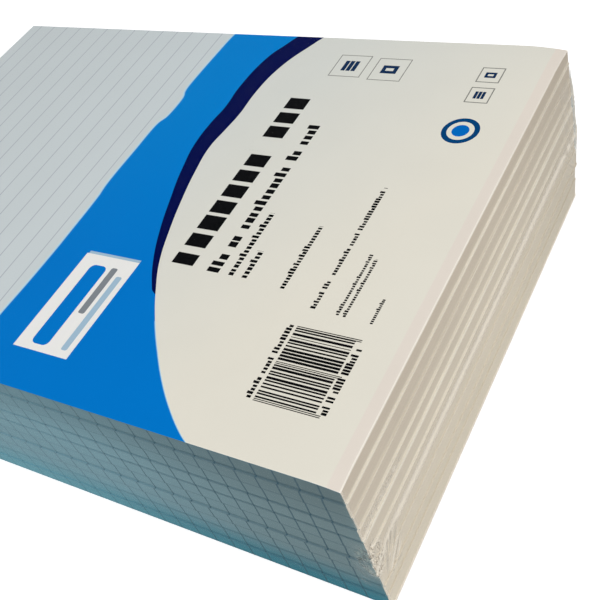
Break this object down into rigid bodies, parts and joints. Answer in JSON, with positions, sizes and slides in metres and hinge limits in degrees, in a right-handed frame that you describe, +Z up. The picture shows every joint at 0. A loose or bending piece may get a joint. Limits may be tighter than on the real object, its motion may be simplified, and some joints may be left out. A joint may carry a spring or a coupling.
{
  "type": "sealed pack of ruled writing pads",
  "caption": "Sealed pack of A4 ruled writing pads: gummed paper pads on backing boards, stacked under a printed card and wrapped in clear shrink film.",
  "frame": {"origin": "on the floor, under the middle of the pack", "axes": "+Z up; +Y along the long side, from the foot of the sheets to the gummed head; +X along the short side, from the near long side to the far one"},
  "size_m": [0.2146, 0.3026, 0.0737],
  "materials": {
    "printed_card": "smooth coated card, printed in blue and off-white",
    "bond_paper": "uncoated bond, cut edges",
    "backing_board": "plain pale board",
    "padding_gum": "dried padding gum, satin",
    "clear_film": "clear glossy film, creased at the corners"
  },
  "bodies": {
    "root": {"top_card": "printed_card", "pad_01_sheets": "bond_paper", "pad_01_board": "backing_board", "pad_01_gum": "padding_gum", "pad_02_sheets": "bond_paper", "pad_02_board": "backing_board", "pad_02_gum": "padding_gum", "pad_03_sheets": "bond_paper", "pad_03_board": "backing_board", "pad_03_gum": "padding_gum", "pad_04_sheets": "bond_paper", "pad_04_board": "backing_board", "pad_04_gum": "padding_gum", "pad_05_sheets": "bond_paper", "pad_05_board": "backing_board", "pad_05_gum": "padding_gum", "pad_06_sheets": "bond_paper", "pad_06_board": "backing_board", "pad_06_gum": "padding_gum", "pad_07_sheets": "bond_paper", "pad_07_board": "backing_board", "pad_07_gum": "padding_gum", "pad_08_sheets": "bond_paper", "pad_08_board": "backing_board", "pad_08_gum": "padding_gum", "pad_09_sheets": "bond_paper", "pad_09_board": "backing_board", "pad_09_gum": "padding_gum", "pad_10_sheets": "bond_paper", "pad_10_board": "backing_board", "pad_10_gum": "padding_gum", "shrink_film": "clear_film"}
  },
  "joints": []
}
